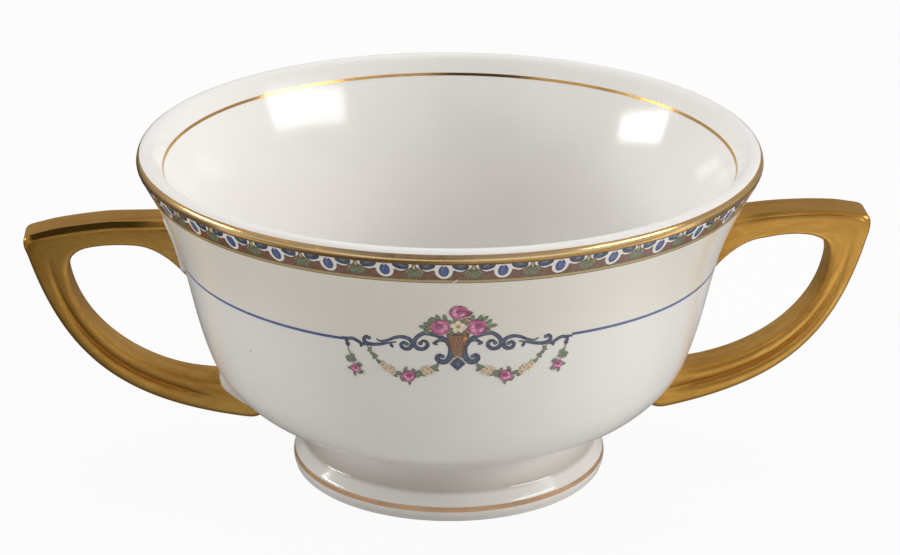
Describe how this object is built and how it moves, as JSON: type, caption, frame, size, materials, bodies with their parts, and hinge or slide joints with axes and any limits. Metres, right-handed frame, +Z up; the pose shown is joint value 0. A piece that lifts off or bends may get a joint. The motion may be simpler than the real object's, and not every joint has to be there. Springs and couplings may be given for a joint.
{
  "type": "bouillon cup",
  "caption": "Footed porcelain bouillon cup with a flared lip, gilt wing handles, a printed flower border and flower-basket medallions; holds soup or broth.",
  "frame": {"origin": "on the table, under the middle of the foot", "axes": "+Z up, +X through the right handle as seen from the front, +Y from the front medallion to the back"},
  "size_m": [0.131, 0.0954, 0.0524],
  "materials": {
    "porcelain": "glossy white glaze",
    "slip": "glossy white glaze",
    "ivory_glaze": "glossy ivory tint",
    "satin_gold": "burnished matt gilding over the glaze",
    "bright_gold": "bright gilding",
    "blue_enamel": "fired enamel line",
    "border_enamel": "fired print in blue, terracotta and green",
    "flower_enamel": "fired print of roses, leaves and scrolls"
  },
  "bodies": {
    "root": {"bowl": "porcelain", "foot_ring": "porcelain", "foot_seam": "slip", "handle_right": "satin_gold", "handle_right_upper_seam": "slip", "handle_right_lower_seam": "slip", "handle_left": "satin_gold", "handle_left_upper_seam": "slip", "handle_left_lower_seam": "slip", "rim_gilding": "bright_gold", "border_print": "border_enamel", "ivory_ground": "ivory_glaze", "inner_gilt_line": "bright_gold", "foot_gilt_line": "bright_gold", "blue_line_front_left": "blue_enamel", "blue_line_front_right": "blue_enamel", "blue_line_back_left": "blue_enamel", "blue_line_back_right": "blue_enamel", "medallion_front": "flower_enamel", "medallion_back": "flower_enamel"}
  },
  "joints": []
}
